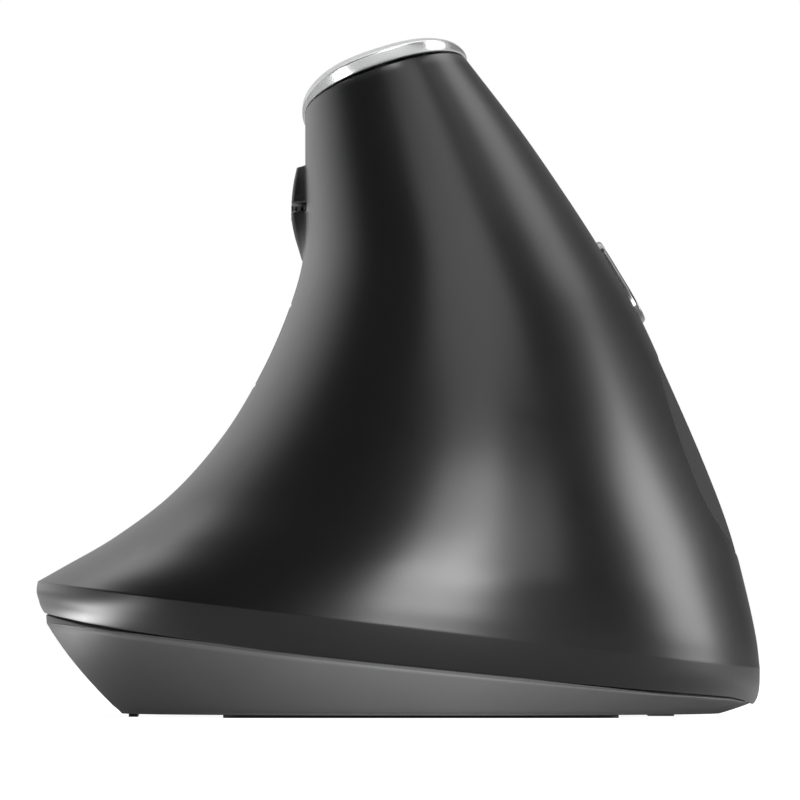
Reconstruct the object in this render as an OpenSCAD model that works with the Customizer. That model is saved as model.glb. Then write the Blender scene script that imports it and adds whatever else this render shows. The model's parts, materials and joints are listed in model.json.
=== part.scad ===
// Upright ergonomic mouse for the left hand, in millimetres.
// +X is the thumb side, -X the finger side, -Y the palm end, +Z up.
// The origin lies on the desk, under the middle of the outline.

/* [Body] */
// Width from the finger lip to the thumb side
body_w = 83.1; // [80:0.1:87]
// Length from the palm end to the nose
body_l = 112; // [109:0.5:117]
// Height of the crown above the desk
body_h = 77.9; // [76:0.1:81]
// Thickness of the outer shell
wall = 2.2; // [1.8:0.1:2.4]
// Gap between neighbouring outer panels
seam = 0.3; // [0.2:0.05:0.4]
// Height of the feet below the underside
foot_drop = 0.35; // [0.3:0.05:0.6]
// Thickness of the underside plate
floor_t = 2; // [1.6:0.1:2.2]
// Highest point of the cap above its seam chord
cap_rise = 4.73; // [4.6:0.01:5]

/* [Colours] */
// Main shell
shell_colour = "#1c1c1d"; // color
// Cap and bezel
silver_colour = "#c9cacb"; // color
// Rubber pieces
rubber_colour = "#101011"; // color

/* [Buttons] */
// How far the raised island stands out beside the wheel
island = 1.65; // [1.2:0.05:1.9]
// How far the thumb bezel stands out
bezel_proud = 0.5; // [0.3:0.05:0.7]
// Width of the bezel rim
bezel_rim = 1.2; // [1:0.1:1.6]
// Depth of the thumb pad in its recess
pad_t = 1.1; // [0.9:0.1:1.3]
// Radius of the posts under the finger buttons
post_r = 1.5; // [1.2:0.1:1.8]
// Air left between a button's post and its switch
button_travel = 0.7; // [0.65:0.05:0.9]
// Length of the speed button
speed_l = 12; // [10:0.5:13]
// Width of the speed button
speed_w = 5; // [4:0.5:5.5]

/* [Wheel] */
// Outer radius of the scroll wheel
wheel_r = 9.5; // [9:0.1:9.8]
// Thickness of the scroll wheel
wheel_w = 4.4; // [4:0.1:4.8]
// Thickness of the rubber tyre
tyre_t = 1.6; // [1.2:0.1:2]
// Radius of the axle
axle_r = 1.25; // [1:0.05:1.5]
// Radial running clearance of the axle
axle_play = 0.05; // [0.03:0.01:0.08]
// Grooves round the tyre
groove_count = 36; // [24:1:48]
// Travel of the wheel when it is pressed in
click_travel = 0.5; // [0.4:0.05:0.6]

/* [Battery] */
// Radius of the cell
cell_r = 7.25; // [7:0.05:7.4]
// Length of the cell with its tip
cell_l = 50.5; // [49:0.1:51]
// Thickness of the battery lid
lid_t = 1.6; // [1.4:0.1:1.8]
// Gap round the battery lid
lid_gap = 0.25; // [0.2:0.05:0.35]

/* [Electronics] */
// Thickness of the circuit boards
board_t = 1.6; // [1.2:0.1:1.8]
// Side of the square push switches
tact_w = 6; // [5:0.5:6.5]
// Height of the finger switch bodies
micro_h = 6; // [5.6:0.1:6.2]
// Radius of the case screws
screw_r = 1; // [0.8:0.05:1.1]
// Clearance of the screws in the base
screw_play = 0.2; // [0.1:0.05:0.3]
// Thickness of the inner frame's plates
frame_t = 2; // [1.6:0.1:2.2]

/* [Hidden] */
$fn = 48;
e = 0.01;
sx = body_w / 83.1;
sy = body_l / 112;
sz = body_h / 77.9;

// Shape of the shell, from the rim crease (0) to the cap seam (1).
// Each row: level, finger edge x z, thumb edge x z, back y, front y,
// widest y on the finger side, widest y on the thumb side, rise of the back, drop of the front.
rows = [
  [0, [-41.43, 15.5, 41.46, 5.6, -55.88, 55.88, -2, -6, -0.85, 0]],
  [0.05, [-38.6, 17.1, 41.05, 9, -55.7, 55.88, -1.5, -6, -0.7, 0.1]],
  [0.12, [-32.7, 20.5, 39.9, 14.4, -55, 55.85, -0.5, -5.5, -0.35, 0.2]],
  [0.22, [-26, 25.6, 38, 21.6, -52.8, 55.8, 1, -5, 0, 0.4]],
  [0.34, [-20.2, 32.2, 35, 29.6, -49.2, 55, 3, -3.5, 0.4, 0.6]],
  [0.46, [-16, 39.1, 31.2, 38.4, -44.2, 53.5, 5, -1.5, 0.6, 0.9]],
  [0.58, [-12.9, 46, 27.3, 46.8, -38, 51.2, 7, 1, 0.9, 1.3]],
  [0.68, [-11.1, 52, 23.6, 53, -32, 48.6, 8.5, 4, 1.2, 1.8]],
  [0.79, [-10.72, 58.2, 19.4, 59.5, -25, 45, 10, 7, 1.6, 2.6]],
  [0.9, [-10.75, 64.2, 14.1, 67.1, -17, 40.5, 11, 10, 2.1, 3.6]],
  [1, [-10.75, 69.3, 7.8, 75.2, -9, 34, 12, 12, 2.6, 5]]
];
back_n = 2.25;
front_n = 2.5;
last = len(rows) - 1;

function slope(i) = (rows[min(i + 1, last)][1] - rows[max(i - 1, 0)][1])
  / (rows[min(i + 1, last)][0] - rows[max(i - 1, 0)][0]);
function span(v, i = 0) = i >= last - 1 || v < rows[i + 1][0] ? i : span(v, i + 1);
function row_at(v) =
  let (i = span(v), h = rows[i + 1][0] - rows[i][0], t = (v - rows[i][0]) / h)
  (2 * pow(t, 3) - 3 * t * t + 1) * rows[i][1] + (pow(t, 3) - 2 * t * t + t) * h * slope(i)
  + (3 * t * t - 2 * pow(t, 3)) * rows[i + 1][1] + (pow(t, 3) - t * t) * h * slope(i + 1);

// The raised island on the finger side, round the wheel's slot.
island_low = 0.694;
split_v = 0.79;
island_high = 0.88;
function ramp(a, b, t) = min(1, max(0, (t - a) / (b - a)));
function island_up(v) = v < split_v
  ? ramp(island_low - 0.002, island_low, v) * (0.15 + 0.85 * sin(90 * ramp(island_low, split_v, v)))
  : ramp(island_high + 0.004, island_high - 0.004, v) * (1 - 0.42 * pow(ramp(split_v, island_high, v), 2));
function island_at(a, v) = island * island_up(v) * ramp(184, 181.5, a) * ramp(120, 137, a);

// Hollow for the thumb, ahead of the widest section.
function hollow(y, z) = 2.2 * exp(-pow((y - 22) / 15, 2) - pow((z - 33) / 12, 2));

// The rim band below the crease runs down to the seam, which slopes across the body.
function seam_z(x) = 6.33 * sz - 0.114 * x * sz / sx;
function powered(c, k) = sign(c) * pow(abs(c), k);
function flank(a, v) =
  let (r = row_at(v), k = 2 / (sin(a) >= 0 ? front_n : back_n), f = (1 + powered(cos(a), k)) / 2)
  let (h = pow(abs(sin(a)), k), m = r[6] + (r[7] - r[6]) * f)
  let (y = sin(a) >= 0 ? m + (r[5] - m) * h : m - (m - r[4]) * h)
  let (z = r[1] + (r[3] - r[1]) * f + (sin(a) >= 0 ? -r[9] : r[8]) * h)
  let (x = r[0] + (r[2] - r[0]) * f)
  [x - (cos(a) > 0 ? hollow(y, z) : 0), y, z];
function band(a, t) =
  let (p = flank(a, 0), g = 1 + 0.004 * sin(180 * min(1, t * 2)) - 0.021 * t * t)
  let (x = p[0] * g * sx, y = p[1] * (1 + (g - 1) * 0.8) * sy)
  [x, y, p[2] * sz + (seam_z(x) - p[2] * sz) * t];
function S(a, v) = v < 0 ? band(a, -v) : let (p = flank(a, v)) [p[0] * sx, p[1] * sy, p[2] * sz];
function unit(p) = p / norm(p);
function N(a, v) =
  let (d = 0.5, w = 0.004, lo = v <= 0 ? v : v - w, hi = v < 0 ? min(v + w, 0) : min(v + w, 1))
  unit(cross(S(a + d, v) - S(a - d, v), S(a, max(hi, lo + e / 10)) - S(a, v < 0 ? hi - 0.05 : min(lo, hi - e / 10))));

// Directions used at the two ends of the shell, so that its edges lie in their seams.
tilt = atan2(rows[last][1][3] * sz - rows[last][1][1] * sz, (rows[last][1][2] - rows[last][1][0]) * sx);
cap_up = [-sin(tilt), 0, cos(tilt)];
function into(a, v) =
  let (n = N(a, v))
  v <= 0 ? let (m = unit([n[0], n[1], 0])) [m[0], m[1], -0.114 * m[0] * sz / sx]
  : v > 0.999 ? unit(n - (n * cap_up) * cap_up) : n;
function P(a, v, d, hump) = S(a, v) - d * into(a, v) - [hump ? island_at(a, v) : 0, 0, 0];

// A region of the shell as a closed solid: a grid of angles and levels with rounded
// rectangular holes and recesses. Each entry of holes and dents is [i0, i1, j0, j1, power].
function squeeze(a, b, p) = pow(pow(abs(a), p) + pow(abs(b), p), -1 / p);
function rounded(us, vs, i, j, r) =
  let (ca = (us[r[0]] + us[r[1]]) / 2, cb = (vs[r[2]] + vs[r[3]]) / 2)
  let (ra = (us[r[1]] - us[r[0]]) / 2, rb = (vs[r[3]] - vs[r[2]]) / 2)
  let (a = (us[i] - ca) / ra, b = (vs[j] - cb) / rb, m = max(abs(a), abs(b)))
  abs(m - 1) > 0.001 ? [us[i], vs[j]] : let (k = squeeze(a, b, r[4])) [ca + ra * a * k, cb + rb * b * k];
function corner(us, vs, i, j, rims, n = 0) =
  n >= len(rims) ? [us[i], vs[j]]
  : let (q = rounded(us, vs, i, j, rims[n])) q == [us[i], vs[j]] ? corner(us, vs, i, j, rims, n + 1) : q;
function within(i, j, list) = len([for (r = list) if (i >= r[0] && i < r[1] && j >= r[2] && j < r[3]) 1]) > 0;
function deg_mm(a, v) = norm(S(a + 0.5, v) - S(a - 0.5, v));
function lev_mm(a, v) = norm(S(a, v + 0.004) - S(a, v - 0.004)) / 0.008;
// Moves a panel's grid towards its middle, so that its edge keeps the seam's gap.
function inset(q, mid, half, g) =
  let (a = (q[0] - mid[0]) / half[0], b = (q[1] - mid[1]) / half[1])
  [q[0] - a * g / deg_mm(q[0], q[1]), q[1] - b * g / lev_mm(q[0], min(0.99, q[1]))];

module skin(us, vs, holes = [], dents = [], wrap = false, top = 0, dent = 0, low = 2, hump = false, gap = 0, power = 60) {
  nu = len(us);
  nv = len(vs);
  last_u = wrap ? nu : nu - 1;
  full = wrap ? concat(us, [us[0] + 360]) : us;
  mid = [(us[0] + us[nu - 1]) / 2, (vs[0] + vs[nv - 1]) / 2];
  half = [(us[nu - 1] - us[0]) / 2, (vs[nv - 1] - vs[0]) / 2];
  rims = wrap ? concat(holes, dents) : concat([[0, nu - 1, 0, nv - 1, power]], holes, dents);
  spots = [for (i = [0:nu - 1]) for (j = [0:nv - 1])
    let (q = corner(full, vs, i, j, rims)) gap == 0 ? q : inset(q, mid, half, gap)];
  kinds = [for (i = [0:last_u - 1]) [for (j = [0:nv - 2]) within(i, j, holes) ? 0 : within(i, j, dents) ? 1 : 2]];
  function kind(i, j) =
    let (c = wrap ? (i + last_u) % last_u : i)
    j < 0 || j > nv - 2 || c < 0 || c > last_u - 1 ? 0 : kinds[c][j];
  function at(layer, i, j) = layer * nu * nv + (i % nu) * nv + j;
  // Layer 2 is the outside, 1 the recess and 0 the inside.
  pts = [for (d = [low, dent, top]) for (q = spots) P(q[0], q[1], d, hump)];
  faces = [
    for (i = [0:last_u - 1]) for (j = [0:nv - 2]) let (k = kind(i, j)) if (k > 0)
      let (ring = [[i, j], [i + 1, j], [i + 1, j + 1], [i, j + 1]])
      let (sides = [kind(i, j - 1), kind(i + 1, j), kind(i, j + 1), kind(i - 1, j)])
      each concat(
        [[for (s = [0, 3, 2]) at(k, ring[s][0], ring[s][1])], [for (s = [0, 2, 1]) at(k, ring[s][0], ring[s][1])]],
        [[for (s = [0, 1, 2]) at(0, ring[s][0], ring[s][1])], [for (s = [0, 2, 3]) at(0, ring[s][0], ring[s][1])]],
        [for (s = [0:3]) if (sides[s] < k)
          let (p = ring[s], q = ring[(s + 1) % 4], g = sides[s])
          each [[at(g, p[0], p[1]), at(k, p[0], p[1]), at(k, q[0], q[1])],
                [at(g, p[0], p[1]), at(k, q[0], q[1]), at(g, q[0], q[1])]]]
      )
  ];
  polyhedron(pts, faces, convexity = 8);
}

// Grid lines that panels and openings share.
btn_back = 188;
btn_front = 112;
btn_low = 0.44;
ring_split = 0.6;
strip_a = [-8, 40];
strip_v = [0.554, 0.707];
pad_a = [-24, 45];
pad_v = [0.17, 0.51];
notch_a = [151, 179.5];
wheel_side = wheel_w / 2 + 0.6;
wheel_lift = 0.5;
lev_per_mm = (split_v - 0.68) / 6.2 / sz;
// Grid of the thumb bezel's opening, with the lines of its rim.
strip_mid = [12.5, (strip_v[0] + strip_v[1]) / 2];
rim_a = bezel_rim / deg_mm(strip_mid[0], strip_mid[1]);
rim_v = bezel_rim / lev_mm(strip_mid[0], strip_mid[1]);
strip_in = [strip_a + [rim_a, -rim_a], strip_v + [rim_v, -rim_v]];
strip_us = [strip_a[0], strip_in[0][0], -2, 4, 10, 16, 22, 28, 34, strip_in[0][1], strip_a[1]];
strip_vs = [strip_v[0], strip_in[1][0], 0.6, 0.65, strip_in[1][1], strip_v[1]];
btn_us = [112, 117, 122, 129, 136, 143.5, 151, 157, 163, 169, 175, 179.5, 181.5, 184, 188];
// The finger buttons stop short of their opening's front edge, so that they can swing in past it.
press_room = 1.6;
press_us = [for (a = btn_us) a == btn_front ? a + press_room : a];
shell_us = concat([pad_a[0], -18, -13], strip_us, [45, 52, 60, 68, 75, 82, 90, 97, 104], btn_us,
  [195, 203, 211, 219, 227, 235, 243, 250, 257, 264, 270, 276, 283, 290, 298, 306, 314, 322, 330]);
shell_vs = concat([-1, -0.85, -0.15, 0, 0.04, 0.08, 0.125, 0.17, 0.22, 0.27, 0.32, 0.38, 0.44, 0.51],
  strip_vs, [0.75, 0.79, 0.84, 0.88, 0.94, 1]);
function place(list, x, i = 0) = abs(list[i] - x) < 0.0001 ? i : place(list, x, i + 1);

module main_cover() {
  color(shell_colour)
    skin(shell_us, shell_vs, wrap = true, low = wall, dent = pad_t + 0.1,
      holes = [
        [place(shell_us, btn_front), place(shell_us, btn_back), place(shell_vs, btn_low), len(shell_vs) - 1, 60],
        [place(shell_us, strip_a[0]), place(shell_us, strip_a[1]),
          place(shell_vs, strip_v[0]), place(shell_vs, strip_v[1]), 6]
      ],
      dents = [[0, place(shell_us, pad_a[1]), place(shell_vs, pad_v[0]), place(shell_vs, pad_v[1]), 2.4]]);
}

// Thumb pad, laid in its recess.
module thumb_pad() {
  color(rubber_colour)
    skin([for (a = shell_us) if (a >= pad_a[0] && a <= pad_a[1]) a],
      [for (v = shell_vs) if (v >= pad_v[0] && v <= pad_v[1]) v],
      top = 0.1, low = pad_t, gap = seam, power = 2.4);
}

// Bezel and buttons of the thumb side.
function spread(r, n) = [for (i = [0:n]) r[0] + (r[1] - r[0]) * i / n];

module side_bezel() {
  color("#4a4c50")
    skin(strip_us, strip_vs, holes = [[1, 9, 1, 4, 9]], top = -bezel_proud, low = wall, gap = seam / 2, power = 6);
}

// The frame of the thumb buttons: x down the slope, y forward, z outward.
thumb_p = S(strip_mid[0], strip_mid[1]);
thumb_n = N(strip_mid[0], strip_mid[1]);
thumb_turn = atan2(thumb_n[0], thumb_n[2]);
module on_thumb() {
  translate(thumb_p)
    rotate([0, thumb_turn, 0])
      children();
}
thumb_switch_y = 9.2 * sy;
tact_h = 3.4;
thumb_shell = wall + 0.2;
// The shell curves away from the frame of the thumb buttons by about this much over the switches.
thumb_sag = 1.9;
thumb_board_z = -thumb_shell - button_travel - tact_h - thumb_sag;

module thumb_button(r) {
  skin(spread(r, 6), spread(strip_in[1], 4), top = -bezel_proud + 0.1, low = thumb_shell, gap = seam + 0.1, power = 4.5);
}

module thumb_post(y) {
  on_thumb()
    translate([0, y, thumb_board_z + tact_h + 0.6 + button_travel])
      cylinder(r = 1.2, h = 1.6);
}

module back_button() {
  color(shell_colour) {
    thumb_button([strip_in[0][0], strip_mid[0]]);
    thumb_post(-thumb_switch_y);
  }
}

module forward_button() {
  color(shell_colour) {
    thumb_button([strip_mid[0], strip_in[0][1]]);
    thumb_post(thumb_switch_y);
  }
}

// A square push switch, standing up from z = 0, with its cap cut short by the travel.
module tact(h, w = tact_w) {
  translate([-w / 2, -w / 2, 0])
    cube([w, w, h - 0.5]);
  translate([0, 0, h - 0.5 - e])
    cylinder(r = w * 0.27, h = 0.5 + e);
}

module thumb_switches() {
  color("#3a3a3c")
    on_thumb()
      for (s = [-1, 1])
        translate([0, s * thumb_switch_y, thumb_board_z])
          tact(tact_h + 0.6);
}

thumb_board_l = 2 * thumb_switch_y + tact_w + 4;
thumb_board_w = tact_w + 2.5;
module thumb_board() {
  color("#1f5a34")
    on_thumb()
      translate([-thumb_board_w / 2, -thumb_board_l / 2, thumb_board_z - board_t])
        cube([thumb_board_w, thumb_board_l, board_t]);
}

// Finger buttons. Each has a post over its switch.
notch = [place(btn_us, notch_a[0]), place(btn_us, notch_a[1])];
press_a = 136.4;
index_v = 0.86;
middle_v = 0.68;
ring_v = 0.52;
index_p = P(press_a, index_v, wall, false);
middle_p = P(press_a, middle_v, wall, false);
ring_p = P(press_a, ring_v, wall, false);

// The switch board stands upright behind the buttons; its face looks to the fingers.
switch_face = 3.2 * sx;
micro_l = 4.6;
micro_w = 5;
micro_top = switch_face - micro_h - 0.4;

module post_to_switch(p) {
  reach = micro_top - button_travel - p[0];
  translate([p[0] - 0.9, p[1], p[2]])
    rotate([0, 90, 0])
      cylinder(r = post_r, h = reach + 0.9);
}

module index_button() {
  color(shell_colour) {
    skin(press_us, [split_v, split_v + (wheel_side + wheel_lift) * lev_per_mm * 1.05, 0.876, 0.884, 0.94, 1],
      holes = [[notch[0], notch[1], 0, 1, 60]], low = wall, hump = true, gap = seam / 2 + 0.05);
    post_to_switch(index_p);
  }
}

module middle_button() {
  color(shell_colour) {
    skin(press_us, [ring_split, 0.65, island_low - 0.003, island_low + 0.001, 0.72,
      split_v - (wheel_side - wheel_lift) * lev_per_mm * 1.05, split_v],
      holes = [[notch[0], notch[1], 5, 6, 60]], low = wall, hump = true, gap = seam / 2 + 0.05);
    post_to_switch(middle_p);
  }
}

module ring_button() {
  color(shell_colour) {
    skin(press_us, [btn_low, 0.48, 0.52, 0.56, ring_split], low = wall, gap = seam / 2 + 0.05);
    post_to_switch(ring_p);
  }
}

// Scroll wheel. Its crown stands level with the island.
wheel_a = 168;
wheel_mid = S(wheel_a, split_v);
wheel_y = wheel_mid[1];
wheel_z = wheel_mid[2] + wheel_lift;
wheel_x = rows[8][1][0] * sx - island - 0.02 + wheel_r;
axle_low = wheel_z - wheel_w / 2 - 4.4;
axle_high = wheel_z + wheel_w / 2 + 2.2;
arm_t = 1.5;
arm_gap = 0.4;

module at_wheel(z) {
  translate([wheel_x, wheel_y, z])
    children();
}

module wheel_tyre() {
  color(rubber_colour)
    at_wheel(wheel_z)
      difference() {
        rotate_extrude($fn = 96)
          polygon([
            [wheel_r - tyre_t, -wheel_w / 2 + 0.3], [wheel_r - 0.7, -wheel_w / 2 + 0.3],
            [wheel_r - 0.2, -wheel_w / 2 + 0.7], [wheel_r, -wheel_w / 2 + 1.4],
            [wheel_r, wheel_w / 2 - 1.4], [wheel_r - 0.2, wheel_w / 2 - 0.7],
            [wheel_r - 0.7, wheel_w / 2 - 0.3], [wheel_r - tyre_t, wheel_w / 2 - 0.3]
          ]);
        for (i = [0:groove_count - 1])
          rotate([0, 0, i * 360 / groove_count])
            translate([wheel_r - 0.35, -0.3, -wheel_w])
              cube([1, 0.6, 2 * wheel_w]);
      }
}

module wheel_hub() {
  rim = wheel_r - tyre_t;
  color(silver_colour)
    at_wheel(wheel_z)
      difference() {
        union() {
          cylinder(r = rim, h = wheel_w, center = true, $fn = 96);
          for (s = [-1, 1])
            translate([0, 0, s * (wheel_w / 2 - 0.15)])
              cylinder(r = rim + 0.8, h = 0.29, center = true, $fn = 96);
        }
        for (s = [-1, 1])
          translate([0, 0, s * wheel_w / 2])
            rotate_extrude()
              translate([axle_r + 2.2, -0.9])
                square([rim - axle_r - 4, 1.8]);
        cylinder(r = axle_r, h = 2 * wheel_w, center = true);
      }
}

module wheel_axle() {
  color("#9a9c9f")
    at_wheel(axle_low)
      cylinder(r = axle_r, h = axle_high - axle_low);
}

bridge_x = wheel_x + wheel_r + 0.8;
bridge_t = 1.5;
arm_w = 8;
arm_low = wheel_z - wheel_w / 2 - arm_gap - arm_t;
arm_high = wheel_z + wheel_w / 2 + arm_gap;
module wheel_carriage() {
  color("#2b2b2e")
    difference() {
      union() {
        for (z = [arm_low, arm_high]) {
          translate([wheel_x - 2.8, wheel_y - arm_w / 2, z])
            cube([bridge_x + bridge_t - wheel_x + 2.8, arm_w, arm_t]);
        }
        translate([bridge_x, wheel_y - arm_w / 2, arm_low])
          cube([bridge_t, arm_w, arm_high + arm_t - arm_low]);
      }
      at_wheel(arm_low - 1)
        cylinder(r = axle_r + axle_play, h = arm_high - arm_low + 4);
    }
}

module wheel_encoder() {
  color("#3a3a3c")
    difference() {
      translate([wheel_x - 4, wheel_y - 5, axle_low - 0.6])
        cube([8, 10, arm_low - axle_low + 0.6]);
      at_wheel(axle_low - 0.3)
        cylinder(r = axle_r + axle_play, h = 10);
    }
}

switch_x = bridge_x + bridge_t + click_travel + 0.1;
click_h = 2.2;
module wheel_switch() {
  color("#3a3a3c")
    translate([switch_x + click_h, wheel_y, wheel_z])
      rotate([0, -90, 0])
        tact(click_h, 4);
}

// Cap, in its own frame: x across, y forward, z square to the seam.
cap_c = [(rows[last][1][0] + rows[last][1][2]) / 2 * sx, 12.5 * sy, (rows[last][1][1] + rows[last][1][3]) / 2 * sz];
module on_cap() {
  translate(cap_c)
    rotate([0, -tilt, 0])
      children();
}
cap_as = shell_us;
cap_rs = [1, 0.985, 0.955, 0.9, 0.82, 0.68, 0.5, 0.28];
cap_side = [for (r = cap_rs) pow(1 - pow(r, 2.1), 1 / 2.1)];
cap_end = [0, 0.36, 0.6, 0.7, 0.79, 0.88, 0.95, 0.99];
function cap_point(a, r, up, lip) =
  let (p = S(a, 1) - cap_c, base = p * cap_up)
  cap_c + (p - base * cap_up) * r + (base + (cap_rise - base) * up + lip) * cap_up;
function cap_lift(a, i) = let (w = pow(sin(a), 2)) cap_side[i] * (1 - w) + cap_end[i] * w;
module cap_body() {
  n = len(cap_as);
  m = len(cap_rs);
  t = 1.8;
  outer = [for (i = [0:m - 1]) for (a = cap_as)
    i == 0 ? S(a, 1) + 0.1 * cap_up : cap_point(a, cap_rs[i], cap_lift(a, i), 0)];
  inner = [for (i = [0:m - 1]) for (a = cap_as)
    let (lift = i == 0 ? 0 : max(0.02, cap_lift(a, i) - t / cap_rise))
    i == 0 ? P(a, 1, wall, false) + 0.1 * cap_up : cap_point(a, cap_rs[i] * 0.78, lift, 0)];
  tops = [cap_point(0, 0, 1, 0), cap_point(0, 0, 1, -t)];
  function quad(a, b, c, d) = [[a, b, c], [a, c, d]];
  faces = concat(
    [for (i = [0:m - 2]) for (j = [0:n - 1]) let (k = (j + 1) % n)
      each quad(i * n + j, (i + 1) * n + j, (i + 1) * n + k, i * n + k)],
    [for (i = [0:m - 2]) for (j = [0:n - 1]) let (k = (j + 1) % n, o = m * n)
      each quad(o + i * n + k, o + (i + 1) * n + k, o + (i + 1) * n + j, o + i * n + j)],
    [for (j = [0:n - 1]) let (k = (j + 1) % n) each quad(j, k, m * n + k, m * n + j)],
    [for (j = [0:n - 1]) let (k = (j + 1) % n) [(m - 1) * n + j, 2 * m * n, (m - 1) * n + k]],
    [for (j = [0:n - 1]) let (k = (j + 1) % n) [(2 * m - 1) * n + k, 2 * m * n + 1, (2 * m - 1) * n + j]]
  );
  polyhedron(concat(outer, inner, tops), faces, convexity = 6);
}

module slot(l, w, h) {
  translate([0, 0, h / 2])
    cube([w, l - w, h], center = true);
  for (s = [-1, 1])
    translate([0, s * (l - w) / 2, 0])
      cylinder(r = w / 2, h = h);
}

module top_cap() {
  color(silver_colour)
    difference() {
      cap_body();
      on_cap()
        slot(speed_l + 2 * lid_gap, speed_w + 2 * lid_gap, cap_rise + 5);
    }
}

speed_low = cap_rise - 3.1;
speed_tact = 1.7;
speed_board_z = speed_low - 0.55 - speed_tact;
module speed_button() {
  color("#55565a")
    on_cap()
      translate([0, 0, speed_low])
        slot(speed_l, speed_w, cap_rise - speed_low - 0.05);
}

module speed_switch() {
  color("#3a3a3c")
    on_cap()
      translate([0, 0, speed_board_z])
        tact(speed_tact, 4.5);
}

speed_board_l = 14;
module speed_board() {
  color("#1f5a34")
    on_cap()
      translate([-4.5, -speed_board_l / 2, speed_board_z - 1.2])
        cube([9, speed_board_l, 1.2]);
}

// Base: an undercut tray below the seam.
floor_z = foot_drop + floor_t;
seat = 0.15;
base_as = [for (i = [0:89]) i * 4];
base_low = [-31.8 * sx, 36.9 * sx, -52 * sy, 52.5 * sy];
function oval(a, b, z) =
  let (k = 2 / (sin(a) >= 0 ? front_n : back_n), m = -3)
  [(b[0] + b[1]) / 2 + (b[1] - b[0]) / 2 * powered(cos(a), k),
    sin(a) >= 0 ? m + (b[3] - m) * pow(abs(sin(a)), k) : m - (m - b[2]) * pow(abs(sin(a)), k), z];
function rim(a, g, up) = let (p = band(a, 1), q = unit([p[0], p[1]]) * g, x = p[0] - q[0]) [x, p[1] - q[1], seam_z(x) + up];
// The side between underside and rim bulges a little.
function side(a) =
  let (p = oval(a, base_low, foot_drop), q = rim(a, 0.12, -seat))
  (p + q) / 2 + unit([p[0], p[1], 0]) * 0.06 * (q[2] - p[2]);

module loft(rings) {
  n = len(rings[0]);
  m = len(rings);
  polyhedron([for (r = rings) each r],
    concat([[for (j = [0:n - 1]) j]], [[for (j = [n - 1:-1:0]) (m - 1) * n + j]],
      [for (i = [0:m - 2]) for (j = [0:n - 1]) let (k = (j + 1) % n)
        each [[i * n + j, (i + 1) * n + j, (i + 1) * n + k], [i * n + j, (i + 1) * n + k, i * n + k]]]),
    convexity = 4);
}

cell_x = -16 * sx;
cell_z = floor_z + 0.25 + cell_r;
cell_y = 0;
bay_w = 2 * cell_r + 1.5;
bay_end = cell_l / 2 + 2.8;
bay_wall = 1.5;
// The frame's cross bars and the screws stand just past the ends of the battery bay.
bar_w = 6;
bar_play = 0.45;
screw_y = bay_end + bay_wall + bar_w / 2 + bar_play;
screw_at = [[-17 * sx, -screw_y], [24 * sx, -screw_y], [-17 * sx, screw_y], [24 * sx, screw_y]];
boss_top = 7;
boss_r = 2.8;
head_r = 2.2;
head_z = foot_drop + 1;
lid_w = bay_w + 2.4;
lid_l = 2 * bay_end - 1.6;
board_z = 7;
board_play = 1.6;
board_box = [0, 33.2 * sx, boss_r + 2 * board_play - screw_y, screw_y - boss_r - board_play];
stand_at = [[3 * sx, -23 * sy], [3 * sx, 25 * sy], [30 * sx, 25 * sy], [16 * sx, -24.5 * sy]];
eye = [14 * sx, 7 * sy];
toggle = [11 * sx, -13 * sy];
toggle_travel = 1.5;
dock = [27 * sx, -13 * sy];
dock_w = 12.4;
dock_l = 18.6;
dock_h = 4.6;
dock_gap = 0.2;
wide_l = 5.6;
foot_play = 0.3;
foot_t = 0.75;
foot_ys = [for (s = [-1, 1]) s * (screw_y + head_r + 0.3 + foot_play + wide_l / 2)];
// The wide feet reach from side to side of the underside, less a margin.
foot_margin = 0.9;
function half_width(t, n) = (base_low[1] - base_low[0]) / 2 * pow(1 - pow(t, n), 1 / n);
wide_out = foot_ys[1] + wide_l / 2;
wide_w = 2 * (min(half_width((wide_out - 3) / (-base_low[2] - 3), back_n),
  half_width((wide_out + 3) / (base_low[3] + 3), front_n)) - foot_margin);
// Each rail: place across, place forward, width and length.
rails = [[-30.4 * sx, -3 * sy, 1, 22 * sy], [30.2 * sx, 15 * sy, 3, 22 * sy]];

module plate(x, y, w, l, z, h) {
  translate([x - w / 2, y - l / 2, z])
    cube([w, l, h]);
}

module foot_pads(g) {
  for (y = foot_ys)
    plate((base_low[0] + base_low[1]) / 2, y, wide_w + 2 * g, wide_l + 2 * g, 0, foot_t + g);
}

module foot_rails(g) {
  for (f = rails)
    plate(f[0], f[1], f[2] + 2 * g, f[3] + 2 * g, 0, foot_t + g);
}

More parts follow.
